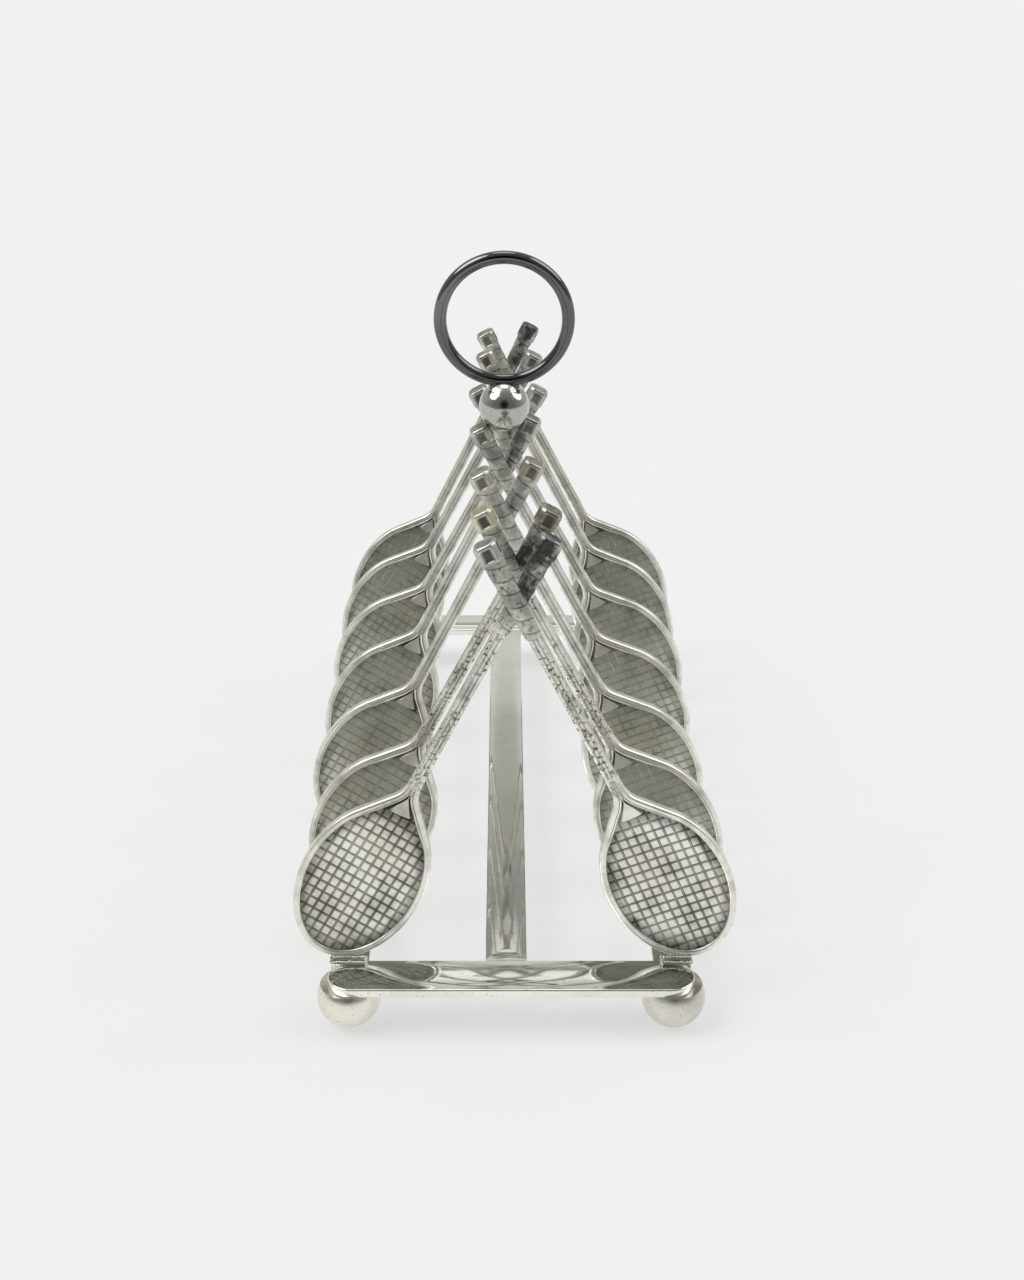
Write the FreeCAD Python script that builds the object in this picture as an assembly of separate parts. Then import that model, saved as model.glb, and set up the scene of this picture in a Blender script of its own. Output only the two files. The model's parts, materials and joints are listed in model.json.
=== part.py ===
import FreeCAD, Part
import math
import os

# Toast rack whose seven dividers are pairs of crossed tennis rackets, cast and silver plated.
# Frame: +Z up, X across the rack, Y along it, origin on the table under the middle of the rack.
# The user faces the rack along +Y, so "front" is at -Y and "left" is at -X. All sizes in mm.

# ---- Base: two end bars, a spine, two side rails and four ball feet --------------------------
FOOT_RADIUS = 6.4
FOOT_WEAR = 0.25              # flat worn under each ball
FOOT_SOCKET = 3.0             # height of the bar's underside above the ball's centre
BAR_THICKNESS = 2.2
BAR_WIDTH = 10.2              # along Y
BAR_HALF_LENGTH = 36.5        # along X, to the tip of the rounded end
BAR_INNER_Y = 80.4            # inner edge of both bars, from the middle
BAR_CROWN = 0.35              # rounding of the bars' upper edges
SPINE_WIDTH = 8.4
SPINE_THICKNESS = 2.0
SPINE_X = -1.0
RAIL_X = 32.6
RAIL_WIDTH = 7.6
RAIL_THICKNESS = 1.8
RAIL_HALF_LENGTH = 83.4       # runs under the bars as far as the feet
FOOT_X = 32.4

FOOT_Y = BAR_INNER_Y + BAR_WIDTH / 2
FOOT_CENTRE_Z = FOOT_RADIUS - FOOT_WEAR
BAR_BOTTOM = FOOT_CENTRE_Z + FOOT_SOCKET
BAR_TOP = BAR_BOTTOM + BAR_THICKNESS
RAIL_TOP = BAR_BOTTOM

# ---- One racket casting, measured from the middle of its head ---------------------------------
HEAD_LONG = 18.0              # half length of the oval head
HEAD_WIDE = 12.45             # half width of the oval head
RIM_WIDTH = 1.45
RIM_THICKNESS = 2.2
BED_THICKNESS = 1.1           # solid string bed inside the rim
THROAT_LEAVES = 44.0          # degrees round the oval, from its top, where the throat begins
THROAT_NECK = (2.9, 20.7)     # across, along: where the straight flank ends
THROAT_BEND = (1.75, 22.9)
THROAT_TOP = 25.2
SHAFT_WIDTH = 2.7
SHAFT_DEPTH = 2.4
GRIP_START = 59.5
GRIP_RADIUS = 1.95
CAP_START = 76.3
CAP_LENGTH = 4.0
CAP_RADIUS = 2.5
CAP_CHAMFER = 0.4

# ---- The seven pairs, front to back ------------------------------------------------------------
# Y of the pair where it stands, and how far its top leans back from upright, in degrees.
# Each racket: X of the middle of its head, and its lean from upright, in degrees.
# The rack was soldered up by hand, so no two pairs are quite alike.
PAIRS = [
    {"y": -80.7, "back": 3.8, "left": (-29.5, 27.7), "right": (31.0, 26.8)},
    {"y": -53.7, "back": -0.3, "left": (-29.1, 27.6), "right": (31.0, 27.8)},
    {"y": -25.5, "back": -4.0, "left": (-30.8, 26.6), "right": (29.6, 27.1)},
    {"y": 2.7, "back": -3.3, "left": (-30.6, 26.3), "right": (29.3, 27.1)},
    {"y": 29.8, "back": -1.3, "left": (-30.9, 28.4), "right": (29.8, 28.2)},
    {"y": 55.6, "back": 0.1, "left": (-31.0, 27.9), "right": (29.8, 27.2)},
    {"y": 78.8, "back": -1.6, "left": (-30.2, 26.8), "right": (30.1, 27.5)},
]
CROSSING_ALONG = 66.0         # where the two grips cross, along each racket
SOLDER_GAP = 0.08             # between the two crossed grips
FINIAL_PAIR = 3               # the middle pair carries the ball and ring

# ---- Solder seat under each head ---------------------------------------------------------------
SEAT_LENGTH = 10.4            # before it is trimmed to the width of the rail
SEAT_DEPTH = 3.0
SEAT_FRONT_REACH = 2.2        # how far the front pair's seats run forward on the bar
SEAT_UNDER = 0.5              # solder left under the rim
SEAT_HEIGHT = 1.1

# ---- Ball finial and ring handle ---------------------------------------------------------------
BALL_RADIUS = 5.55
BALL_ABOVE_CAPS = 6.2         # ball's centre above the middle of the two caps
BALL_SHIFT = 0.3              # ball's centre left of the middle of the two caps
RING_RADIUS = 13.75           # to the middle of the wire
WIRE_RADIUS = 1.4
RING_SINK = 1.2               # depth of the saddle filed in the ball for the wire
RING_LEAN = 5.0               # degrees the ring leans towards the front
COLLAR_FOOT_RADIUS = 4.2
COLLAR_TOP_RADIUS = 1.9
COLLAR_HEIGHT = 1.7

UP = FreeCAD.Vector(0, 0, 1)
ORIGIN = FreeCAD.Vector(0, 0, 0)


def box_between(x, y, z):
    """Box from three (low, high) spans."""
    corner = FreeCAD.Vector(x[0], y[0], z[0])
    return Part.makeBox(x[1] - x[0], y[1] - y[0], z[1] - z[0], corner)


# ---- Base --------------------------------------------------------------------------------------
def end_bar(side):
    """Flat bar with fully rounded ends, at the front (side -1) or the back (side 1)."""
    radius = BAR_WIDTH / 2
    straight = BAR_HALF_LENGTH - radius
    middle = FreeCAD.Vector(0, side * FOOT_Y, BAR_BOTTOM)
    low = [middle + FreeCAD.Vector(x, -radius, 0) for x in (-straight, straight)]
    high = [middle + FreeCAD.Vector(x, radius, 0) for x in (-straight, straight)]
    right = Part.Arc(low[1], middle + FreeCAD.Vector(BAR_HALF_LENGTH, 0, 0), high[1])
    left = Part.Arc(high[0], middle - FreeCAD.Vector(BAR_HALF_LENGTH, 0, 0), low[0])
    edges = [
        Part.makeLine(low[0], low[1]),
        right.toShape(),
        Part.makeLine(high[1], high[0]),
        left.toShape(),
    ]
    bar = Part.Face(Part.Wire(edges)).extrude(UP * BAR_THICKNESS)
    upper = [edge for edge in bar.Edges if edge.BoundBox.ZMin > BAR_TOP - 0.01]
    return bar.makeFillet(BAR_CROWN, upper)


def spine():
    """Flat strip between the inner edges of the two bars, flush with their tops."""
    half = SPINE_WIDTH / 2
    strip = box_between(
        (SPINE_X - half, SPINE_X + half),
        (-BAR_INNER_Y, BAR_INNER_Y),
        (BAR_TOP - SPINE_THICKNESS, BAR_TOP),
    )
    along = [
        edge
        for edge in strip.Edges
        if edge.BoundBox.YLength > BAR_INNER_Y and edge.BoundBox.ZMin > BAR_TOP - 0.01
    ]
    return strip.makeFillet(BAR_CROWN, along)


def side_rail(side):
    """Strip that the heads stand on, lapped under both bars and butted to the ball feet."""
    half = RAIL_WIDTH / 2
    strip = box_between(
        (side * RAIL_X - half, side * RAIL_X + half),
        (-RAIL_HALF_LENGTH, RAIL_HALF_LENGTH),
        (RAIL_TOP - RAIL_THICKNESS, RAIL_TOP),
    )
    for end in (-1, 1):
        strip = strip.cut(whole_foot(side, end))
    return strip


def whole_foot(side, end):
    """Ball before it is trimmed to the bar and worn underneath."""
    centre = FreeCAD.Vector(side * FOOT_X, end * FOOT_Y, FOOT_CENTRE_Z)
    return Part.makeSphere(FOOT_RADIUS, centre)


def ball_foot(side, end):
    """Ball soldered under the end of a bar, worn flat where it rests on the table."""
    reach = FOOT_RADIUS + 1
    keep = box_between(
        (side * FOOT_X - reach, side * FOOT_X + reach),
        (end * FOOT_Y - reach, end * FOOT_Y + reach),
        (0, BAR_BOTTOM),
    )
    return whole_foot(side, end).common(keep)


# ---- Racket casting, drawn flat: X across, Y along the shaft, Z through its thickness ----------
def oval(semi_across, semi_along, thickness):
    """Oval plate centred on its own thickness, with its seam at the tip of the head."""
    curve = Part.Ellipse(ORIGIN, semi_along, semi_across)
    plate = Part.Face(Part.Wire(curve.toShape())).extrude(UP * thickness)
    plate.rotate(ORIGIN, UP, -90)
    plate.translate(UP * (-thickness / 2))
    return plate


def throat():
    """Wedge that gathers the rim into the shaft, with a hollow curve at each side."""
    turn = math.radians(THROAT_LEAVES)
    leave = (HEAD_WIDE * math.sin(turn), HEAD_LONG * math.cos(turn))
    top = (SHAFT_WIDTH / 2, THROAT_TOP)

    def at(point, side):
        return FreeCAD.Vector(side * point[0], point[1], -RIM_THICKNESS / 2)

    def flank(side):
        line = Part.makeLine(at(leave, side), at(THROAT_NECK, side))
        bend = Part.Arc(at(THROAT_NECK, side), at(THROAT_BEND, side), at(top, side))
        return [line, bend.toShape()]

    right = flank(1)
    left = flank(-1)
    across_top = Part.makeLine(at(top, 1), at(top, -1))
    across_head = Part.makeLine(at(leave, -1), at(leave, 1))
    wire = Part.Wire(Part.__sortEdges__(right + [across_top] + left + [across_head]))
    return Part.Face(wire).extrude(UP * RIM_THICKNESS)


def shaft():
    """Eight-sided bar, deeper than it is flat-sided, from inside the throat to inside the grip."""
    start = HEAD_LONG + 3
    wide = SHAFT_WIDTH / 2
    deep = SHAFT_DEPTH / 2
    corner = 0.35
    section = [
        (wide, deep * corner),
        (wide * corner, deep),
        (-wide * corner, deep),
        (-wide, deep * corner),
        (-wide, -deep * corner),
        (-wide * corner, -deep),
        (wide * corner, -deep),
        (wide, -deep * corner),
    ]
    points = [FreeCAD.Vector(x, start, z) for x, z in section]
    face = Part.Face(Part.makePolygon(points + points[:1]))
    return face.extrude(FreeCAD.Vector(0, GRIP_START + 1 - start, 0))


def grip():
    """Round wrapped handle with its chamfered butt cap."""
    along = FreeCAD.Vector(0, 1, 0)
    handle_length = CAP_START - GRIP_START + 0.5
    handle = Part.makeCylinder(
        GRIP_RADIUS, handle_length, FreeCAD.Vector(0, GRIP_START, 0), along
    )
    cap = Part.makeCylinder(CAP_RADIUS, CAP_LENGTH, FreeCAD.Vector(0, CAP_START, 0), along)
    round_edges = [edge for edge in cap.Edges if isinstance(edge.Curve, Part.Circle)]
    return handle.fuse(cap.makeChamfer(CAP_CHAMFER, round_edges))


def racket_casting():
    """Whole racket as one casting, lying flat."""
    body = oval(HEAD_WIDE, HEAD_LONG, RIM_THICKNESS).fuse([throat(), shaft(), grip()])
    pocket = oval(HEAD_WIDE - RIM_WIDTH, HEAD_LONG - RIM_WIDTH, RIM_THICKNESS)
    for side in (-1, 1):
        lift = side * (RIM_THICKNESS + BED_THICKNESS) / 2
        body = body.cut(pocket.translated(UP * lift))
    return body.removeSplitter()


# ---- Standing the rackets up -------------------------------------------------------------------
def head_drop(lean):
    """Height of the head's middle above its lowest point when it leans by this angle."""
    return math.hypot(HEAD_LONG * math.cos(lean), HEAD_WIDE * math.sin(lean))


def contact_x(side, head_x, lean):
    """X of the lowest point of a leaning head; side is -1 for a head on the left."""
    swing = (HEAD_LONG ** 2 - HEAD_WIDE ** 2) * math.sin(lean) * math.cos(lean)
    return head_x + side * swing / head_drop(lean)


def support_height(index):
    """The front pair stands on its bar and the others on the side rails."""
    return BAR_TOP if index == 0 else RAIL_TOP


def stand_up(casting, index, side):
    """Racket of a pair in its place: the right-hand head's racket passes in front."""
    pair = PAIRS[index]
    head_x, lean_degrees = pair["left" if side < 0 else "right"]
    lean = math.radians(lean_degrees)
    lever = CROSSING_ALONG + HEAD_LONG
    spread = math.atan2(GRIP_RADIUS + SOLDER_GAP, lever)
    tilt = math.radians(pair["back"]) - side * spread
    axis = FreeCAD.Vector(
        -side * math.sin(lean) * math.cos(tilt),
        math.sin(tilt),
        math.cos(lean) * math.cos(tilt),
    )
    back = FreeCAD.Vector(0, 1, 0)
    normal = (axis * back.dot(axis) - back).normalize()
    across = axis.cross(normal)
    drop = head_drop(lean)
    centre = FreeCAD.Vector(
        head_x,
        pair["y"] + drop * math.sin(tilt),
        support_height(index) + SEAT_UNDER + drop * math.cos(tilt),
    )
    placement = FreeCAD.Matrix(
        across.x, axis.x, normal.x, centre.x,
        across.y, axis.y, normal.y, centre.y,
        across.z, axis.z, normal.z, centre.z,
        0, 0, 0, 1,
    )
    cap_centre = centre + axis * (CAP_START + CAP_LENGTH / 2)
    return casting.transformed(placement, True), cap_centre


def head_seat(racket, index, side):
    """Pad of solder between a head and what it stands on, moulded to the rim."""
    pair = PAIRS[index]
    head_x, lean = pair["left" if side < 0 else "right"]
    x = contact_x(side, head_x, math.radians(lean))
    inner = side * (RAIL_X - RAIL_WIDTH / 2)
    outer = side * (RAIL_X + RAIL_WIDTH / 2)
    low = max(min(inner, outer), x - SEAT_LENGTH / 2)
    high = min(max(inner, outer), x + SEAT_LENGTH / 2)
    base = support_height(index)
    near = pair["y"] - (SEAT_DEPTH / 2 if index else SEAT_FRONT_REACH)
    far = min(pair["y"] + SEAT_DEPTH / 2, BAR_INNER_Y) if index else -BAR_INNER_Y
    pad = box_between((low, high), (near, far), (base, base + SEAT_HEIGHT))
    return pad.cut(racket)


# ---- Finial ------------------------------------------------------------------------------------
def finial(caps, rackets):
    """Ball in the fork of the middle pair, the ring soldered upright on it, and their collar."""
    middle = (caps[0] + caps[1]) * 0.5
    centre = middle + FreeCAD.Vector(-BALL_SHIFT, 0, BALL_ABOVE_CAPS)
    top = centre + UP * BALL_RADIUS
    ring_centre = top + UP * (RING_RADIUS + WIRE_RADIUS - RING_SINK)
    ring = Part.makeTorus(RING_RADIUS, WIRE_RADIUS, ring_centre, FreeCAD.Vector(0, 1, 0))
    ring.rotate(top, FreeCAD.Vector(1, 0, 0), RING_LEAN)
    ball = Part.makeSphere(BALL_RADIUS, centre).cut(ring)
    for racket in rackets:
        ball = ball.cut(racket)
    collar = Part.makeCone(
        COLLAR_FOOT_RADIUS,
        COLLAR_TOP_RADIUS,
        COLLAR_HEIGHT,
        top - UP * COLLAR_HEIGHT,
    )
    collar = collar.cut(ball).cut(ring)
    return {"finial_ball": ball, "ring_handle": ring, "ring_collar": collar}


def build():
    """Every piece of the rack by name."""
    parts = {
        "front_bar": end_bar(-1),
        "back_bar": end_bar(1),
        "spine": spine(),
        "left_rail": side_rail(-1),
        "right_rail": side_rail(1),
    }
    for end, end_name in ((-1, "front"), (1, "back")):
        for side, side_name in ((-1, "left"), (1, "right")):
            parts[f"foot_{end_name}_{side_name}"] = ball_foot(side, end)
    casting = racket_casting()
    finial_caps = []
    finial_rackets = []
    for index in range(len(PAIRS)):
        for side, side_name in ((-1, "left"), (1, "right")):
            racket, cap_centre = stand_up(casting, index, side)
            parts[f"racket_{index + 1}_{side_name}"] = racket
            parts[f"seat_{index + 1}_{side_name}"] = head_seat(racket, index, side)
            if index == FINIAL_PAIR:
                finial_caps.append(cap_centre)
                finial_rackets.append(racket)
    parts.update(finial(finial_caps, finial_rackets))
    return parts


os.makedirs("parts", exist_ok=True)
for name, shape in build().items():
    shape.exportStep(f"parts/{name}.step")
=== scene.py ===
import json
import math
import random

import bpy
import numpy as np
from mathutils import Matrix, Vector


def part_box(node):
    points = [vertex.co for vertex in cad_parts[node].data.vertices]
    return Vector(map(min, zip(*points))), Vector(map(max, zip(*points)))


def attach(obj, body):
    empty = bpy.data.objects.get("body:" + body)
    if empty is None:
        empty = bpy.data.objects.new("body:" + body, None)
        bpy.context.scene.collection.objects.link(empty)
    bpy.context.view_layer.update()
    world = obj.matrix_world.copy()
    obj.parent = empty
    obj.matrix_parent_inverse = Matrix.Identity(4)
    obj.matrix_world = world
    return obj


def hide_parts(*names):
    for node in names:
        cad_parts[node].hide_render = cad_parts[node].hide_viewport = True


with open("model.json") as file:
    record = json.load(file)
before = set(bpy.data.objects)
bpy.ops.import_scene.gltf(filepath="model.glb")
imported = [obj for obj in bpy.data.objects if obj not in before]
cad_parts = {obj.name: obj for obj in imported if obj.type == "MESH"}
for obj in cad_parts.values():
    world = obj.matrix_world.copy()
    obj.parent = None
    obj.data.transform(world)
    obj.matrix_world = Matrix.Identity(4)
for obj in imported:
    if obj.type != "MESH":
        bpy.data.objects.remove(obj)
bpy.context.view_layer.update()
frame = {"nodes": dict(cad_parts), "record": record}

# Looks of a toast rack made of crossed tennis rackets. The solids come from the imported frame, and
# every detailed piece stands exactly where its CAD node is. Lengths here are in metres.

MM = 0.001
SEED = 7

# ---- The racket casting, in its own frame: x across, y along the shaft, z towards the front ------
HEAD_LONG = 18.0 * MM
HEAD_WIDE = 12.39 * MM
RIM_WIDTH = 1.45 * MM
BED_HALF = 0.5 * MM           # half the bed's thickness
BED_DISH = 0.16 * MM          # how far the middle of the bed sinks
THROAT_LEAVES = 39.0          # degrees round the oval, from its top, where the throat begins
THROAT_FILLET = 6.0 * MM
SHAFT_HALF = 1.35 * MM
SHAFT_DEEP = 1.2 * MM
GRIP_START = 59.5 * MM
GRIP_RADIUS = 1.80 * MM       # where it starts; it thickens towards the cap
GRIP_SWELL = 0.36 * MM
CAP_START = 76.3 * MM
CAP_RADIUS = 2.5 * MM
STRAND_WIDTH = 1.70 * MM      # width of the rim where it runs into the shaft
WEDGE_FOOT = 16.7 * MM        # lower edge of the plain wedge between the two strands
WEDGE_HALF = 0.92 * MM        # half the wedge's thickness

MAIN_PITCH = 1.86 * MM        # strings along the racket
CROSS_PITCH = 2.06 * MM       # strings across it
MAIN_TURN = math.radians(2.6)
CROSS_TURN = math.radians(6.0)
STRING_HALF = 0.22 * MM       # half the width of a string
STRING_HIGH = 0.13 * MM
WEAVE = 0.04 * MM             # rise and fall of a string over its crossings
WRAP_PITCH = 2.9 * MM
WRAP_STEP = 0.13 * MM

FOOT_CENTRE = 6.15 * MM       # height of the foot balls' middles
BALL_INSIDE = 0.01 * MM       # keeps the round balls within the CAD's faceted ones
SEAT_FLAT = 0.62              # share of a seat's height below its beads

# ---- The studio -----------------------------------------------------------------------------------
FLOOR_HALF = 15.0
FLOOR_GLOW = 0.560
ROOM_FRONT = (0.20, 0.205, 0.20, 1)
STAND_COLOUR = (0.015, 0.016, 0.018, 1)
STAND_DIRECTION = (0.0, -0.93, 0.36)
STAND_INNER = 14.0            # degrees from its middle: wholly dark inside
STAND_OUTER = 24.0            # and gone outside
# The wall behind the rack: sine of the direction's rise above the floor, and brightness there.
BACK_WALL = [
    (0.0, 0.56),
    (0.42, 0.62),
    (0.47, 0.40),
    (0.55, 0.22),
    (0.572, 0.95),
    (0.72, 0.62),
    (1.0, 0.56),
]
# Each light: direction it comes from, width in degrees, power.
LIGHTS = {
    "key_left": ((-0.8, -0.15, 1.0), 40, 1.5),
    "fill_right": ((0.9, 0.1, 0.8), 40, 0.95),
    "top": ((0.0, 0.25, 1.0), 24, 0.35),
}
CAMERA_PLACE = (-0.00123, -0.38245, 0.22135)
CAMERA_DOWN = math.radians(24.78)
CAMERA_SENSOR = 36.0
FRAME_HEIGHT = 1280           # the long side of the frame; lens and shift are shares of it
CAMERA_LENS = 1800 * CAMERA_SENSOR / FRAME_HEIGHT
CAMERA_SHIFT = 7 / FRAME_HEIGHT
CAMERA_CLIP = 0.01


# ---- Mesh building ------------------------------------------------------------------------------
class Mesh:
    """Collects vertices, faces and a value per vertex for wear and painted shade, and makes one
    object of them.
    """

    def __init__(self):
        self.points = []
        self.faces = []
        self.wear = []

    def grid(self, rows, wear, close_across=False, close_along=False):
        """Adds a grid of points, given as rows of vectors, with quads between them."""
        start = len(self.points)
        count = len(rows[0])
        for row, values in zip(rows, wear):
            self.points.extend(row)
            self.wear.extend(values)
        across = count if close_across else count - 1
        along = len(rows) if close_along else len(rows) - 1
        for i in range(along):
            for j in range(across):
                a = start + i * count + j
                b = start + i * count + (j + 1) % count
                c = start + (i + 1) % len(rows) * count + (j + 1) % count
                d = start + (i + 1) % len(rows) * count + j
                self.faces.append((a, b, c, d))
        return start

    def fan(self, ring, centre, wear):
        """Closes a ring of vertex numbers with a fan about a new point."""
        middle = len(self.points)
        self.points.append(centre)
        self.wear.append(wear)
        for i, a in enumerate(ring):
            b = ring[(i + 1) % len(ring)]
            self.faces.append((middle, a, b))

    def build(self, name, material, sharp_degrees=38):
        """Makes the object, with smooth shading broken at sharp edges."""
        data = bpy.data.meshes.new(name)
        data.from_pydata([tuple(p) for p in self.points], [], self.faces)
        data.validate()
        attribute = data.attributes.new("wear", "FLOAT", "POINT")
        attribute.data.foreach_set("value", np.array(self.wear, np.float32))
        data.shade_smooth()
        data.set_sharp_from_angle(angle=math.radians(sharp_degrees))
        data.materials.append(material)
        thing = bpy.data.objects.new(name, data)
        bpy.context.scene.collection.objects.link(thing)
        return thing


def smooth_step(low, high, value):
    """Rises smoothly from 0 at low to 1 at high."""
    t = min(1.0, max(0.0, (value - low) / (high - low)))
    return t * t * (3 - 2 * t)


# ---- Outline of the casting ---------------------------------------------------------------------
def half_outline():
    """Outer edge of the right half, from the tip of the head up to the shaft."""
    leave = math.radians(THROAT_LEAVES)
    points = []
    for i in range(71):
        turn = math.pi - (math.pi - leave) * i / 70
        points.append(Vector((HEAD_WIDE * math.sin(turn), HEAD_LONG * math.cos(turn))))
    start = points[-1]
    slope = math.atan2(HEAD_WIDE * math.cos(leave), HEAD_LONG * math.sin(leave))
    run = (start.x - SHAFT_HALF) / math.tan(slope)
    bend = Vector((SHAFT_HALF, start.y + run))
    reach = THROAT_FILLET * math.tan(slope / 2)
    fillet_start = bend + Vector((math.sin(slope), -math.cos(slope))) * reach
    for i in range(1, 13):
        points.append(start.lerp(fillet_start, i / 12))
    middle = Vector((SHAFT_HALF + THROAT_FILLET, bend.y + reach))
    for i in range(1, 13):
        turn = slope * (1 - i / 12)
        arm = Vector((-math.cos(turn), -math.sin(turn)))
        points.append(middle + arm * THROAT_FILLET)
    for i in range(1, 5):
        points.append(Vector((SHAFT_HALF, middle.y + i * 0.7 * MM)))
    return points


def inward_normals(points):
    """Unit normals pointing into the head, along the right half of the outline."""
    normals = []
    for i in range(len(points)):
        before = points[max(0, i - 1)]
        after = points[min(len(points) - 1, i + 1)]
        along = (after - before).normalized()
        normals.append(Vector((-along.y, along.x)))
    normals[0] = Vector((0, 1))
    return normals


OUTLINE = half_outline()
NORMALS = inward_normals(OUTLINE)

# Section of the rim: distance in from the outer edge, height, wear. The groove runs between the
# two laminations, and the last point is buried under the edge of the bed.
RIM_SECTION = [
    (0.00, 0.00, 0.35),
    (0.00, 0.50, 0.0),
    (0.03, 0.74, 0.0),
    (0.12, 0.94, 0.0),
    (0.28, 1.06, 0.0),
    (0.46, 1.10, 0.0),
    (0.60, 1.08, 0.0),
    (0.66, 1.06, 0.0),
    (0.72, 1.04, 0.0),
    (0.84, 0.97, 0.0),
    (0.93, 0.86, 0.1),
    (0.985, 0.66, 0.6),
    (1.02, 0.35, 1.0),
]
SEAM_POINT = 7                # the point of the section that sinks into a seam near the shaft
SEAM_DEPTH = 0.13


def add_rim(mesh):
    """Two strands that leave the shaft and meet round the head, as one closed band."""
    section = list(RIM_SECTION)
    section += [(d, -z, w) for d, z, w in reversed(section[1:])]
    path = list(zip(OUTLINE, NORMALS))
    mirrored = [(Vector((-p.x, p.y)), Vector((-n.x, n.y))) for p, n in reversed(path[1:])]
    rows = []
    wear = []
    for point, normal in mirrored + path:
        throat = smooth_step(12 * MM, 17 * MM, point.y)
        width = RIM_WIDTH + (STRAND_WIDTH - RIM_WIDTH) * throat
        row = []
        values = []
        for k, (d, z, value) in enumerate(section):
            edge = point + normal * d * width
            if k in (SEAM_POINT, len(section) - SEAM_POINT):
                z -= math.copysign(SEAM_DEPTH * throat, z)
                value = 0.85 * throat
            row.append(Vector((edge.x, edge.y, z * MM)))
            values.append(value)
        rows.append(row)
        wear.append(values)
    mesh.grid(rows, wear, close_across=True)


# ---- String bed ---------------------------------------------------------------------------------
STRING_OFFSETS = (-1.3, -1.0, -0.6, 0.0, 0.6, 1.0, 1.3)     # across one string, in half widths
STRING_PROFILE = (0.0, 0.0, 0.75, 1.0, 0.75, 0.0, 0.0)
STRING_WEAR = (0.05, 1.0, 0.80, 0.55, 0.80, 1.0, 0.05)


def string_lines(pitch, reach):
    """Positions across the strings: (place, string height 0 to 1, wear, string number)."""
    lines = []
    count = int(reach / pitch) + 1
    for k in range(-count, count + 1):
        for offset, high, wear in zip(STRING_OFFSETS, STRING_PROFILE, STRING_WEAR):
            lines.append((k * pitch + offset * STRING_HALF, high, wear, k))
        lines.append(((k + 0.5) * pitch, 0.0, 0.0, k))
    return sorted(lines)


def outline_half_width(y):
    """Half width of the casting's outline at a height above the middle of the head."""
    upper = OUTLINE[35:]
    return float(np.interp(y, [p.y for p in upper], [p.x for p in upper]))


def under_rim(flat):
    """True where the bed is inside the rim or just hidden beneath it."""
    hidden = RIM_WIDTH * 0.45
    if flat.y > WEDGE_FOOT + 0.6 * MM:
        return False
    if flat.y > 11 * MM:
        return abs(flat.x) < outline_half_width(flat.y) - hidden * 1.4
    return math.hypot(flat.x / (HEAD_WIDE - hidden), flat.y / (HEAD_LONG - hidden)) < 1


def add_bed(mesh, front):
    """One face of the solid bed with its woven strings in relief; front is 1 or -1."""
    mains = string_lines(MAIN_PITCH, HEAD_WIDE * 1.15)
    crosses = string_lines(CROSS_PITCH, HEAD_LONG * 1.1)
    across = Vector((math.cos(CROSS_TURN), -math.sin(CROSS_TURN)))
    along = Vector((math.sin(MAIN_TURN), math.cos(MAIN_TURN)))
    inner_wide = HEAD_WIDE - RIM_WIDTH
    inner_long = HEAD_LONG - RIM_WIDTH
    numbers = {}
    for i, (u, main_high, main_wear, main_number) in enumerate(mains):
        for j, (v, cross_high, cross_wear, cross_number) in enumerate(crosses):
            flat = across * u + along * v
            reach = math.hypot(flat.x / inner_wide, flat.y / inner_long)
            if not under_rim(flat):
                continue
            over = math.cos(math.pi * v / CROSS_PITCH) * (-1) ** main_number
            under = -math.cos(math.pi * u / MAIN_PITCH) * (-1) ** cross_number
            main_top = main_high * (STRING_HIGH + WEAVE * over)
            cross_top = cross_high * (STRING_HIGH + WEAVE * under)
            rise = max(main_top, cross_top)
            wear = max(main_wear, cross_wear)
            # Painted shade mixed with tarnish: the outer part of the bed, next to the rim, is
            # darkened through the wear value.
            shade = 0.70 * smooth_step(0.80, 0.97, reach)
            dish = BED_DISH * (1 - min(1.0, reach) ** 2)
            z = BED_HALF - dish + rise
            numbers[i, j] = len(mesh.points)
            mesh.points.append(Vector((flat.x, flat.y, front * z)))
            mesh.wear.append(min(1.0, max(wear, shade + 0.5 * wear)))
    for i in range(len(mains) - 1):
        for j in range(len(crosses) - 1):
            corners = [(i, j), (i + 1, j), (i + 1, j + 1), (i, j + 1)]
            if all(c in numbers for c in corners):
                face = [numbers[c] for c in corners]
                mesh.faces.append(tuple(face if front > 0 else reversed(face)))


def add_wedge(mesh):
    """Plain panel between the strands, with an edge where the strings begin."""
    columns = 16
    rows_up = 22
    top = 21.2 * MM
    for front in (1, -1):
        rows = []
        wear = []
        for i in range(-2, rows_up + 1):
            up = max(0, i) / rows_up
            row = []
            values = []
            for j in range(columns + 1):
                side = -1 + 2 * j / columns
                y = WEDGE_FOOT + (top - WEDGE_FOOT) * up + 0.35 * MM * (1 - up) * side * side
                inner = outline_half_width(y) - STRAND_WIDTH / math.cos(math.radians(41))
                half = max(inner, 0) + 0.12 * MM
                z = WEDGE_HALF - 0.34 * MM * smooth_step(0.66, 0.80, abs(side))
                if i == -1:
                    y -= 0.10 * MM
                    z -= 0.12 * MM
                if i == -2:
                    y -= 0.16 * MM
                    z = BED_HALF - 0.1 * MM
                row.append(Vector((side * half, y, front * z)))
                edge = smooth_step(0.62, 0.74, abs(side))
                values.append(1.0 if i < 0 else max(0.15, edge))
            rows.append(row if front > 0 else row[::-1])
            wear.append(values if front > 0 else values[::-1])
        mesh.grid(rows, wear)


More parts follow.
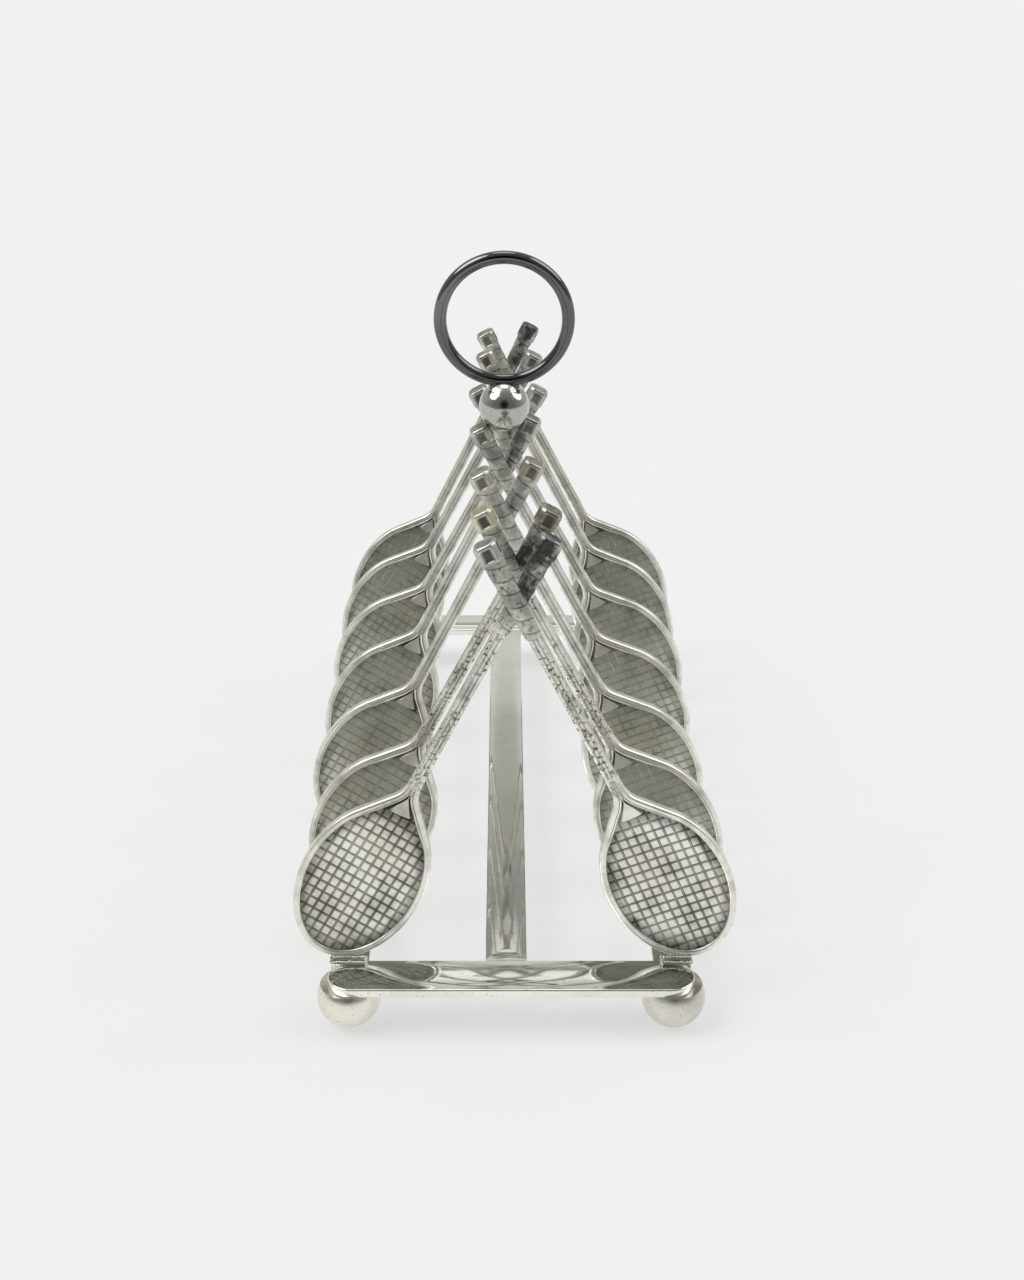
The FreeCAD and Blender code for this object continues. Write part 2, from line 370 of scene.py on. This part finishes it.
# ---- Shaft, grip and cap ------------------------------------------------------------------------
def shaft_section(steps=48):
    """Rounded bar with two shallow grooves along each face: (x, z, wear)."""
    section = []
    for i in range(steps):
        turn = 2 * math.pi * i / steps
        c = math.cos(turn)
        s = math.sin(turn)
        x = SHAFT_HALF * math.copysign(abs(c) ** 0.62, c)
        z = SHAFT_DEEP * math.copysign(abs(s) ** 0.62, s)
        groove = math.exp(-((abs(x) - 0.46 * MM) / (0.13 * MM)) ** 2)
        groove *= smooth_step(0.5 * MM, 0.9 * MM, abs(z))
        z -= math.copysign(0.17 * MM * groove, z)
        side = 0.6 * smooth_step(1.18 * MM, SHAFT_HALF, abs(x))
        section.append((x, z, max(side, 0.95 * groove)))
    return section


def add_shaft(mesh):
    section = shaft_section()
    rows = []
    wear = []
    steps = 60
    start = 21.5 * MM
    for i in range(steps + 1):
        y = start + (GRIP_START + 0.6 * MM - start) * i / steps
        slim = 1 - 0.05 * math.sin(math.pi * i / steps)
        rows.append([Vector((x * slim, y, z * slim)) for x, z, _ in section])
        wear.append([w for _, _, w in section])
    mesh.grid([row[::-1] for row in rows], [w[::-1] for w in wear], close_across=True)


def octagon(turn, softness=0.55):
    """Radius of a unit octagon with softened corners, with a flat towards the front."""
    quarter = math.pi / 4
    inside = (turn + quarter / 2) % quarter - quarter / 2
    flat = math.cos(quarter / 2) / math.cos(inside)
    return flat * (1 - softness) + softness * (flat * 0.5 + 0.5 * math.cos(quarter / 4))


def square(turn):
    """Outline of a square with a flat to the front: 0.90 to its flats, 1.03 to its cut corners."""
    side = (turn + math.pi / 4) % (math.pi / 2) - math.pi / 4
    corner = (turn + math.pi / 2) % (math.pi / 2) - math.pi / 4
    flat = 0.90 / math.cos(side)
    cut = 1.03 / math.cos(corner)
    return min(flat, cut)


def add_grip(mesh):
    """Octagonal handle with a strip of leather wound round it, each turn lapping the next."""
    around = 64
    steps = 190
    rows = []
    wear = []
    length = CAP_START + 0.2 * MM - GRIP_START
    for i in range(steps + 1):
        y = GRIP_START + length * i / steps
        body = GRIP_RADIUS + GRIP_SWELL * (i / steps) ** 1.6
        body -= 0.22 * MM * (1 - smooth_step(0, 0.7 * MM, y - GRIP_START))
        row = []
        values = []
        for j in range(around):
            turn = 2 * math.pi * j / around
            phase = ((y + WRAP_PITCH * turn / (2 * math.pi)) / WRAP_PITCH) % 1.0
            step = smooth_step(0.0, 0.10, phase) * (1 - 0.75 * smooth_step(0.15, 1.0, phase))
            radius = body * octagon(turn) + WRAP_STEP * (step - 0.75)
            row.append(Vector((radius * math.sin(turn), y, radius * math.cos(turn))))
            seam = 1 - smooth_step(0.0, 0.11, min(phase, 1 - phase))
            values.append(0.28 + 0.62 * seam)
        rows.append(row)
        wear.append(values)
    mesh.grid(rows, wear, close_across=True)


CAP_RINGS = [
    (0.00, 0.84, 1.0),
    (0.05, 0.90, 0.6),
    (0.20, 0.965, 0.0),
    (0.45, 0.98, 0.0),
    (0.75, 1.00, 0.0),
    (0.95, 1.00, 0.0),
    (1.40, 1.00, 0.0),
    (2.00, 1.00, 0.0),
    (2.60, 1.00, 0.0),
    (3.00, 1.00, 0.0),
    (3.20, 1.00, 0.0),
    (3.55, 0.99, 0.0),
    (3.85, 0.94, 0.0),
    (4.00, 0.84, 0.0),
    (3.99, 0.72, 0.1),
    (3.88, 0.60, 0.5),
    (3.85, 0.30, 0.25),
]
CAP_PANEL = 0.20 * MM         # depth of the dished panel in each broad side of the cap


def add_cap(mesh):
    """Squared butt cap with cut corners, dished sides and a dished end."""
    around = 72
    rows = []
    wear = []
    for up, share, value in CAP_RINGS:
        row = []
        values = []
        for j in range(around):
            turn = 2 * math.pi * j / around
            side = (turn + math.pi / 4) % (math.pi / 2) - math.pi / 4
            panel = 1 - smooth_step(0.30, 0.52, abs(side))
            panel *= smooth_step(0.75, 0.95, up) * (1 - smooth_step(3.0, 3.2, up))
            radius = CAP_RADIUS * share * square(turn) - CAP_PANEL * panel
            y = CAP_START + up * MM
            row.append(Vector((radius * math.sin(turn), y, radius * math.cos(turn))))
            values.append(max(value, 0.90 * panel))
        rows.append(row)
        wear.append(values)
    start = mesh.grid(rows, wear, close_across=True)
    last = start + (len(CAP_RINGS) - 1) * around
    ring = list(range(last, last + around))
    end = Vector((0, CAP_START + CAP_RINGS[-1][0] * MM, 0))
    mesh.fan(ring, end, CAP_RINGS[-1][2])


def racket_mesh():
    mesh = Mesh()
    add_rim(mesh)
    add_bed(mesh, 1)
    add_bed(mesh, -1)
    add_wedge(mesh)
    add_shaft(mesh)
    add_grip(mesh)
    add_cap(mesh)
    return mesh


# ---- Where each racket stands, read from its CAD solid ------------------------------------------
def casting_pose(node):
    """Matrix that carries the casting's own frame onto a racket of the frame."""
    vertices = np.array([v.co for v in frame["nodes"][node].data.vertices], float)
    points = np.unique(np.round(vertices, 7), axis=0)
    lean = 1 if node.endswith("left") else -1
    axis = np.array((0.45 * lean, 0.0, 0.9))       # about right; refined below
    same = 2e-6
    for _ in range(6):
        axis = axis / np.linalg.norm(axis)
        along = points @ axis
        top = points[along > along.max() - same].mean(0)
        tip = points[along < along.min() + same].mean(0)
        axis = top - tip
    axis = Vector(axis).normalized()
    back = Vector((0, 1, 0))
    normal = -(back - axis * back.dot(axis)).normalized()
    across = axis.cross(normal)
    centre = Vector(tip) + axis * HEAD_LONG
    pose = Matrix.Identity(4)
    for column, vector in enumerate((across, axis, normal, centre)):
        for row in range(3):
            pose[row][column] = vector[row]
    return pose


# ---- Materials ----------------------------------------------------------------------------------
class Nodes:
    """Short hand for building a material's node tree."""

    def __init__(self, name):
        self.material = bpy.data.materials.new(name)
        self.material.use_nodes = True
        self.tree = self.material.node_tree
        self.shader = self.tree.nodes["Principled BSDF"]
        self.place = self.add("ShaderNodeTexCoord").outputs["Object"]

    def add(self, kind, inputs=None, **settings):
        node = self.tree.nodes.new(kind)
        for key, value in settings.items():
            setattr(node, key, value)
        for key, value in (inputs or {}).items():
            self.set(node.inputs[key], value)
        return node

    def set(self, socket, value):
        if isinstance(value, bpy.types.NodeSocket):
            self.tree.links.new(value, socket)
        else:
            socket.default_value = value

    def noise(self, scale, detail=4.0, rough=0.55, distort=0.0):
        inputs = {
            "Vector": self.place,
            "Scale": scale,
            "Detail": detail,
            "Roughness": rough,
            "Distortion": distort,
        }
        return self.add("ShaderNodeTexNoise", inputs).outputs["Fac"]

    def ramp(self, value, low, high, to_low=0.0, to_high=1.0):
        inputs = {
            "Value": value,
            "From Min": low,
            "From Max": high,
            "To Min": to_low,
            "To Max": to_high,
        }
        return self.add("ShaderNodeMapRange", inputs).outputs["Result"]

    def math(self, operation, a, b=0.0):
        return self.add("ShaderNodeMath", {0: a, 1: b}, operation=operation).outputs[0]

    def mix(self, factor, a, b):
        node = self.add("ShaderNodeMix", data_type="RGBA")
        self.set(node.inputs["Factor"], factor)
        self.set(node.inputs["A"], a)
        self.set(node.inputs["B"], b)
        return node.outputs["Result"]

    def attribute(self, name):
        return self.add("ShaderNodeAttribute", attribute_name=name).outputs["Fac"]


BRIGHT = (0.93, 0.93, 0.87, 1)
WARM = (0.80, 0.775, 0.67, 1)
DARK = (0.075, 0.072, 0.058, 1)
GREY = (0.30, 0.30, 0.27, 1)
# Blue-black for the grips: grime together with painted shade.
GRIME_AND_SHADE = (0.030, 0.036, 0.038, 1)
# Grey-olive for the beds behind the front pair: painted shade.
BED_SHADE = (0.34, 0.34, 0.285, 1)
GILT = (0.80, 0.74, 0.52, 1)


def cast_silver():
    """Cast plate: satin on the high places, brown-black in the hollows and pits. Painted shade
    darkens the bed next to the rim and the beds behind the front pair, whose strings keep a painted
    highlight, and joins the grime on the grips.
    """
    n = Nodes("cast_silver")
    wear = n.attribute("wear")
    clouds = n.noise(150.0, 5.0, 0.62)
    pits = n.noise(1250.0, 4.0, 0.75)
    patch = n.noise(60.0, 4.0, 0.6)
    crust = n.math("MULTIPLY", n.attribute("pitted"), n.ramp(patch, 0.38, 0.54, 0.3, 1.1))
    crust = n.math("ADD", crust, n.math("MULTIPLY", wear, 0.25))
    pit_depth = n.math("MULTIPLY", n.ramp(pits, 0.53, 0.60), n.math("MINIMUM", crust, 1.0))
    stain = n.math("MULTIPLY", n.ramp(clouds, 0.46, 0.70), 0.60)
    # The beds behind the front pair take painted shade, and their hollows are darkened less, so that
    # their strings keep a painted highlight.
    dull = n.attribute("dull")
    hollow = n.math("MULTIPLY", wear, n.ramp(clouds, 0.30, 0.6, 0.62, 1.0))
    hollow = n.math("MULTIPLY", hollow, n.ramp(dull, 0.0, 1.0, 1.0, 0.15))
    base = n.mix(n.ramp(patch, 0.42, 0.68), BRIGHT, WARM)
    stained = n.mix(stain, base, GREY)
    # The grips darken in blotches, racket by racket: grime together with painted shade.
    blotch = n.ramp(n.noise(210.0, 4.0, 0.68), 0.38, 0.56, 0.30, 1.0)
    grimy_and_shaded = n.mix(n.math("MULTIPLY", n.attribute("grime"), blotch), stained, GRIME_AND_SHADE)
    bed_shaded = n.mix(dull, grimy_and_shaded, BED_SHADE)
    gilt = n.mix(n.attribute("gilt"), bed_shaded, GILT)
    dirt = n.math("MAXIMUM", hollow, n.math("MULTIPLY", pit_depth, 0.95))
    n.set(n.shader.inputs["Base Color"], n.mix(dirt, gilt, DARK))
    n.shader.inputs["Metallic"].default_value = 1.0
    rough = n.math("ADD", n.ramp(clouds, 0.3, 0.7, 0.26, 0.42), n.math("MULTIPLY", dirt, 0.25))
    n.set(n.shader.inputs["Roughness"], rough)
    height = n.math("SUBTRACT", n.math("MULTIPLY", clouds, 0.5), pit_depth)
    bump = n.add(
        "ShaderNodeBump", {"Height": height, "Strength": 0.42, "Distance": 0.00014}
    )
    n.set(n.shader.inputs["Normal"], bump.outputs["Normal"])
    return n.material


def polished_silver(name, base, low, high, tarnish):
    """Mirror plate with fine wiping scratches, a few pits and a breath of tarnish."""
    n = Nodes(name)
    clouds = n.noise(60.0, 4.0, 0.55)
    fine = n.noise(2200.0, 2.0, 0.5)
    stretched = n.add("ShaderNodeMapping", {"Vector": n.place, "Scale": (30.0, 900.0, 900.0)})
    wipes = n.add(
        "ShaderNodeTexNoise", {"Vector": stretched.outputs["Vector"], "Scale": 3.0, "Detail": 3.0}
    ).outputs["Fac"]
    specks = n.ramp(fine, 0.66, 0.72)
    veil = n.math("MULTIPLY", n.ramp(clouds, 0.45, 0.75), tarnish)
    toned = n.mix(veil, base, GREY)
    n.set(n.shader.inputs["Base Color"], n.mix(n.math("MULTIPLY", specks, 0.6), toned, DARK))
    n.shader.inputs["Metallic"].default_value = 1.0
    rough = n.math("ADD", n.ramp(wipes, 0.3, 0.7, low, high), n.math("MULTIPLY", veil, 0.15))
    n.set(n.shader.inputs["Roughness"], rough)
    height = n.math("SUBTRACT", n.math("MULTIPLY", clouds, 0.8), n.math("MULTIPLY", specks, 0.3))
    bump = n.add(
        "ShaderNodeBump", {"Height": height, "Strength": 0.15, "Distance": 0.0002}
    )
    n.set(n.shader.inputs["Normal"], bump.outputs["Normal"])
    return n.material


def pale_floor():
    """Light table: a pale sheet that is partly lit from beneath, so it stays even."""
    n = Nodes("pale_floor")
    grain = n.noise(30.0, 2.0, 0.5)
    n.set(n.shader.inputs["Base Color"], n.mix(grain, (0.30, 0.30, 0.30, 1), (0.29, 0.29, 0.29, 1)))
    n.shader.inputs["Roughness"].default_value = 0.9
    n.shader.inputs["Specular IOR Level"].default_value = 0.0
    n.shader.inputs["Emission Color"].default_value = (1, 1, 1, 1)
    n.shader.inputs["Emission Strength"].default_value = FLOOR_GLOW
    return n.material


MATERIALS = {
    "cast_silver": cast_silver(),
    "polished_silver": polished_silver("polished_silver", BRIGHT, 0.035, 0.08, 0.25),
    "ball_silver": polished_silver("ball_silver", (0.52, 0.52, 0.48, 1), 0.08, 0.16, 0.6),
    "foot_silver": polished_silver("foot_silver", (0.88, 0.86, 0.77, 1), 0.20, 0.34, 0.45),
    # The ring's silver is given a near-black base: painted shade, standing for the dim room that the
    # ring reflects.
    "ring_silver": polished_silver("ring_silver", (0.13, 0.137, 0.137, 1), 0.045, 0.085, 0.4),
    "solder": polished_silver("solder", (0.74, 0.73, 0.68, 1), 0.14, 0.26, 0.4),
}


# How strongly each racket is gilt at its cap and darkened on its grip by grime and painted shade,
# and the shares for the rest.
GILT_CAPS = {
    "racket_2_left": 0.25,
    "racket_2_right": 0.55,
    "racket_3_left": 0.2,
}
GRIPS_GRIME_AND_SHADE = {
    "racket_1_left": 0.95,
    "racket_1_right": 0.42,
    "racket_2_left": 1.0,
    "racket_3_left": 0.60,
    "racket_4_left": 0.80,
    "racket_4_right": 0.60,
    "racket_7_left": 0.95,
}
GRIP_GRIME_AND_SHADE = 0.55
PITS_ALL_OVER = 0.12
PITS_ON_NEAR_SHAFTS = 0.85    # the two front pairs
PITS_ON_FAR_SHAFTS = 0.22
# Share of painted shade on the beds behind the front pair.
SHADED_BEDS = 0.45              # all pairs but the front one


# ---- Pieces -------------------------------------------------------------------------------------
def slot_of(node):
    for entry in frame["record"]["subparts"]:
        if entry["node"] == node:
            return entry["material_slot"]
    raise KeyError(node)


def dress_cad_nodes():
    """Every CAD node that still shows gets the finish of its slot."""
    for name, thing in frame["nodes"].items():
        material = MATERIALS[slot_of(name)]
        thing.data.materials.clear()
        thing.data.materials.append(material)


def paint(piece, name, values):
    """Stores one number per vertex, for the material to read."""
    layer = piece.data.attributes.new(name, "FLOAT", "POINT")
    layer.data.foreach_set("value", np.asarray(values, np.float32))


def make_rackets():
    shape = racket_mesh()
    along = np.array([p.y for p in shape.points])
    cap = np.clip((along - CAP_START) / (0.5 * MM), 0, 1)
    handle = np.clip((along - GRIP_START) / (8 * MM), 0, 1)
    pitted = np.clip((along - 21 * MM) / (6 * MM), 0, 1) * np.clip((CAP_START - along) / MM, 0, 1)
    over = np.array([p.x for p in shape.points]) / (HEAD_WIDE - RIM_WIDTH)
    reach = np.hypot(over, along / (HEAD_LONG - RIM_WIDTH))
    flat = np.array([abs(p.z) for p in shape.points]) < 0.8 * MM
    inside = ((reach < 1.0) & flat).astype(float)
    for name in sorted(frame["nodes"]):
        if not name.startswith("racket_"):
            continue
        piece = shape.build("detailed_" + name, MATERIALS["cast_silver"])
        paint(piece, "gilt", cap * GILT_CAPS.get(name, 0.0))
        # Grip darkening: grime together with painted shade.
        paint(piece, "grime", handle * GRIPS_GRIME_AND_SHADE.get(name, GRIP_GRIME_AND_SHADE))
        near = name.startswith(("racket_1_", "racket_2_"))
        pits = PITS_ON_NEAR_SHAFTS if near else PITS_ON_FAR_SHAFTS
        paint(piece, "pitted", PITS_ALL_OVER + pitted * pits)
        # Painted shade over the beds of all pairs but the front one.
        paint(piece, "dull", inside * (0.0 if "_1_" in name else SHADED_BEDS))
        piece.data.transform(casting_pose(name))
        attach(piece, "root")
        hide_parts(name)


def rounded_outline(half_x, half_y, radius, steps=12):
    """Points round a rectangle with rounded corners, counter-clockwise."""
    radius = min(radius, half_x, half_y)
    points = []
    for corner in range(4):
        middle_x = (half_x - radius) * (1 if corner in (0, 3) else -1)
        middle_y = (half_y - radius) * (1 if corner in (0, 1) else -1)
        for i in range(steps + 1):
            turn = math.pi / 2 * (corner + i / steps)
            x = middle_x + radius * math.cos(turn)
            points.append((x, middle_y + radius * math.sin(turn)))
    return points


def slab_mesh(box, corner, profile):
    """Plate filling a box: profile gives (inset, depth below the top, wear) from its underside."""
    lo, hi = box
    half_x = (hi.x - lo.x) / 2
    half_y = (hi.y - lo.y) / 2
    middle_x = (hi.x + lo.x) / 2
    middle_y = (hi.y + lo.y) / 2
    mesh = Mesh()
    rows = []
    wear = []
    for inset, depth, value in profile:
        ring = rounded_outline(half_x - inset, half_y - inset, max(corner - inset, 0.02 * MM))
        rows.append([Vector((middle_x + x, middle_y + y, hi.z - depth)) for x, y in ring])
        wear.append([value] * len(ring))
    start = mesh.grid(rows, wear, close_across=True)
    count = len(rows[0])
    for row, outward in ((0, False), (len(rows) - 1, True)):
        ring = list(range(start + row * count, start + (row + 1) * count))
        mesh.faces.append(tuple(ring if outward else reversed(ring)))
    return mesh


def crowned_profile(height, half, crown, bevel):
    """Flat underside, upright edge, soft bevel, and a top that crowns to its middle."""
    profile = [
        (0.45 * MM, height, 0.4),
        (0.10 * MM, height, 0.3),
        (0.0, height - 0.15 * MM, 0.1),
        (0.0, crown + bevel, 0.0),
    ]
    for i in range(1, 9):
        turn = math.pi / 2 * i / 8
        profile.append((bevel * (1 - math.cos(turn)), crown + bevel * (1 - math.sin(turn)), 0.0))
    steps = 10
    for i in range(1, steps + 1):
        t = i / steps
        inset = bevel + (half - bevel - 0.02 * MM) * t
        profile.append((inset, crown * (1 - t) ** 3, 0.0))
    return profile


def make_base():
    """Bars, spine and rails with worn, crowned tops."""
    shapes = {
        "front_bar": (5.1, 0.42, 0.34),
        "back_bar": (5.1, 0.42, 0.34),
        "spine": (0.15, 0.30, 0.30),
        "left_rail": (0.15, 0.12, 0.25),
        "right_rail": (0.15, 0.12, 0.25),
    }
    for name, (corner, crown, bevel) in shapes.items():
        lo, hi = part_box(name)
        half = min(hi.x - lo.x, hi.y - lo.y) / 2
        profile = crowned_profile(hi.z - lo.z, half, crown * MM, bevel * MM)
        mesh = slab_mesh((lo, hi), corner * MM, profile)
        piece = mesh.build("finished_" + name, MATERIALS["polished_silver"], 50)
        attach(piece, "root")
        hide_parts(name)


def turned_ball(centre, radius, low, high, dent_seed):
    """Ball between two heights, with shallow knocks in it."""
    around = 72
    rises = 44
    rng = random.Random(dent_seed)
    knocks = []
    for _ in range(26):
        turn = rng.uniform(0, 2 * math.pi)
        up = rng.uniform(-0.9, 0.9)
        flat = math.sqrt(1 - up * up)
        way = Vector((flat * math.cos(turn), flat * math.sin(turn), up))
        knocks.append((way, rng.uniform(0.10, 0.34), rng.uniform(0.010, 0.035) * MM))
    bottom = math.asin(max(-1.0, (low - centre.z) / radius))
    top = math.asin(min(1.0, (high - centre.z) / radius))
    mesh = Mesh()
    rows = []
    for i in range(rises + 1):
        lift = bottom + (top - bottom) * i / rises
        row = []
        for j in range(around):
            turn = 2 * math.pi * j / around
            flat = math.cos(lift)
            way = Vector((flat * math.cos(turn), flat * math.sin(turn), math.sin(lift)))
            depth = 0.0
            for knock, spread, deep in knocks:
                gap = (way - knock).length / spread
                depth += deep * math.exp(-gap * gap)
            if i in (0, rises):
                depth = 0.0
            row.append(centre + way * (radius - depth))
        rows.append(row)
    start = mesh.grid(rows, [[0.0] * around] * len(rows), close_across=True)
    last = start + rises * around
    mesh.faces.append(tuple(range(start + around - 1, start - 1, -1)))
    mesh.faces.append(tuple(range(last, last + around)))
    return mesh


def make_balls():
    """Four ball feet, and the finial ball, which is whole under its collar."""
    for index, name in enumerate(sorted(frame["nodes"])):
        if not (name.startswith("foot_") or name == "finial_ball"):
            continue
        lo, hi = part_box(name)
        radius = (hi.x - lo.x) / 2 - BALL_INSIDE
        middle = (lo + hi) / 2
        height = FOOT_CENTRE if name.startswith("foot_") else lo.z + radius
        centre = Vector((middle.x, middle.y, height))
        top = hi.z if name.startswith("foot_") else centre.z + radius * 0.995
        mesh = turned_ball(centre, radius, lo.z, top, SEED + index)
        finish = "foot_silver" if name.startswith("foot_") else "ball_silver"
        piece = mesh.build("turned_" + name, MATERIALS[finish], 40)
        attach(piece, "root")
        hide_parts(name)


# Section of the collar, in mm: distance from the ball's axis, height above its centre.
COLLAR_PROFILE = [
    (4.00, 3.60),
    (3.55, 4.42),
    (3.05, 4.85),
    (2.45, 5.20),
    (1.80, 5.45),
    (1.00, 5.62),
    (0.10, 5.68),
]


def make_collar():
    """Fillet of solder between the ball and the ring, round on the ball's own axis."""
    around = 48
    lo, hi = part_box("finial_ball")
    radius = (hi.x - lo.x) / 2
    centre = Vector(((lo.x + hi.x) / 2, (lo.y + hi.y) / 2, lo.z + radius))
    rng = random.Random(SEED)
    waves = [(k, rng.uniform(0.02, 0.05), rng.uniform(0, 6)) for k in (2, 3, 5, 7)]
    mesh = Mesh()
    rows = []
    for out, up in COLLAR_PROFILE:
        row = []
        for j in range(around):
            turn = 2 * math.pi * j / around
            ripple = sum(a * math.sin(k * turn + shift) for k, a, shift in waves)
            reach = (out + ripple * out / 4) * MM
            row.append(centre + Vector((reach * math.cos(turn), reach * math.sin(turn), up * MM)))
        rows.append(row)
    start = mesh.grid(rows, [[0.3] * around] * len(rows), close_across=True)
    last = start + (len(rows) - 1) * around
    mesh.faces.append(tuple(range(start + around - 1, start - 1, -1)))
    mesh.faces.append(tuple(range(last, last + around)))
    piece = mesh.build("soldered_collar", MATERIALS["solder"], 40)
    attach(piece, "root")
    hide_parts("ring_collar")


def add_bead(mesh, centre, radius, squash):
    """Small rounded lump of solder."""
    around = 12
    rows = []
    for i in range(7):
        lift = -math.pi / 2 + math.pi * (i + 0.02) / 6.04
        row = []
        for j in range(around):
            turn = 2 * math.pi * j / around
            flat = radius * math.cos(lift)
            high = radius * squash * math.sin(lift)
            row.append(centre + Vector((flat * math.cos(turn), flat * math.sin(turn), high)))
        rows.append(row)
    start = mesh.grid(rows, [[0.15] * around] * len(rows), close_across=True)
    last = start + (len(rows) - 1) * around
    mesh.faces.append(tuple(range(start + around - 1, start - 1, -1)))
    mesh.faces.append(tuple(range(last, last + around)))


def make_seats():
    """Solder pads under the heads, with beads where the solder ran."""
    for name in sorted(frame["nodes"]):
        if not name.startswith("seat_"):
            continue
        lo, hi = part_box(name)
        rng = random.Random(name)
        half = (hi.y - lo.y) / 2
        height = hi.z - lo.z
        top = Vector((hi.x, hi.y, lo.z + SEAT_FLAT * height))
        profile = crowned_profile(SEAT_FLAT * height, half, 0.10 * MM, 0.25 * MM)
        mesh = slab_mesh((lo, top), 0.8 * MM, profile)
        count = int((hi.x - lo.x) / (0.62 * MM))
        for k in range(count):
            x = lo.x + (hi.x - lo.x) * (k + 0.5) / count
            for edge in (-1, 1):
                radius = rng.uniform(0.28, 0.42) * MM
                y = (lo.y + hi.y) / 2 + edge * (half - radius * 1.05)
                z = lo.z + rng.uniform(0.42, 0.60) * height
                add_bead(mesh, Vector((x, y, z)), radius, 0.9)
        piece = mesh.build("soldered_" + name, MATERIALS["solder"], 60)
        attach(piece, "root")
        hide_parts(name)


# ---- Floor, light and camera --------------------------------------------------------------------
def make_floor():
    data = bpy.data.meshes.new("floor")
    half = FLOOR_HALF
    data.from_pydata(
        [(-half, -half, 0), (half, -half, 0), (half, half, 0), (-half, half, 0)], [], [(0, 1, 2, 3)]
    )
    data.materials.append(pale_floor())
    floor = bpy.data.objects.new("floor", data)
    bpy.context.scene.collection.objects.link(floor)


def soft_light(name, direction, spread, power):
    """A wide, far light, which lights the floor evenly."""
    lamp = bpy.data.lights.new(name, "SUN")
    lamp.angle = math.radians(spread)
    lamp.energy = power
    thing = bpy.data.objects.new(name, lamp)
    thing.location = direction
    thing.rotation_euler = Vector(direction).to_track_quat("Z", "Y").to_euler()
    bpy.context.scene.collection.objects.link(thing)


def make_light():
    """Bright soft lights in a dimmer room, with a dark stand in front where the camera is."""
    for name, (direction, spread, power) in LIGHTS.items():
        soft_light(name, direction, spread, power)
    world = bpy.data.worlds.new("studio")
    bpy.context.scene.world = world
    world.use_nodes = True
    tree = world.node_tree
    background = tree.nodes["Background"]
    place = tree.nodes.new("ShaderNodeTexCoord").outputs["Generated"]
    split = tree.nodes.new("ShaderNodeSeparateXYZ")
    depth = tree.nodes.new("ShaderNodeMapRange")
    depth.inputs["From Min"].default_value = -0.7
    depth.inputs["From Max"].default_value = 0.6
    room = tree.nodes.new("ShaderNodeMix")
    room.data_type = "RGBA"
    room.inputs["A"].default_value = ROOM_FRONT
    wall = tree.nodes.new("ShaderNodeValToRGB")
    elements = wall.color_ramp.elements
    while len(elements) < len(BACK_WALL):
        elements.new(0.5)
    for element, (rise, value) in zip(elements, BACK_WALL):
        element.position = rise
        element.color = (value, value, value * 0.96, 1)
    tree.links.new(split.outputs["Z"], wall.inputs["Fac"])
    tree.links.new(wall.outputs["Color"], room.inputs["B"])
    tree.links.new(place, split.inputs[0])
    tree.links.new(split.outputs["Y"], depth.inputs["Value"])
    tree.links.new(depth.outputs["Result"], room.inputs["Factor"])
    facing = tree.nodes.new("ShaderNodeVectorMath")
    facing.operation = "DOT_PRODUCT"
    facing.inputs[1].default_value = STAND_DIRECTION
    stand = tree.nodes.new("ShaderNodeMapRange")
    stand.inputs["From Min"].default_value = math.cos(math.radians(STAND_OUTER))
    stand.inputs["From Max"].default_value = math.cos(math.radians(STAND_INNER))
    dim = tree.nodes.new("ShaderNodeMix")
    dim.data_type = "RGBA"
    dim.inputs["B"].default_value = STAND_COLOUR
    tree.links.new(place, facing.inputs[0])
    tree.links.new(facing.outputs["Value"], stand.inputs["Value"])
    tree.links.new(stand.outputs["Result"], dim.inputs["Factor"])
    tree.links.new(room.outputs["Result"], dim.inputs["A"])
    tree.links.new(dim.outputs["Result"], background.inputs["Color"])
    background.inputs["Strength"].default_value = 1.0


def make_camera():
    """Looks down along the rack from in front of it."""
    data = bpy.data.cameras.new("camera")
    data.sensor_fit = "AUTO"
    data.sensor_width = CAMERA_SENSOR
    data.lens = CAMERA_LENS
    data.clip_start = CAMERA_CLIP
    data.shift_x = CAMERA_SHIFT
    camera = bpy.data.objects.new("camera", data)
    camera.location = CAMERA_PLACE
    camera.rotation_euler = (math.pi / 2 - CAMERA_DOWN, 0, 0)
    bpy.context.scene.collection.objects.link(camera)
    bpy.context.scene.camera = camera


dress_cad_nodes()
make_rackets()
make_base()
make_balls()
make_collar()
make_seats()
make_floor()
make_light()
make_camera()
bpy.context.scene.view_settings.view_transform = "Standard"
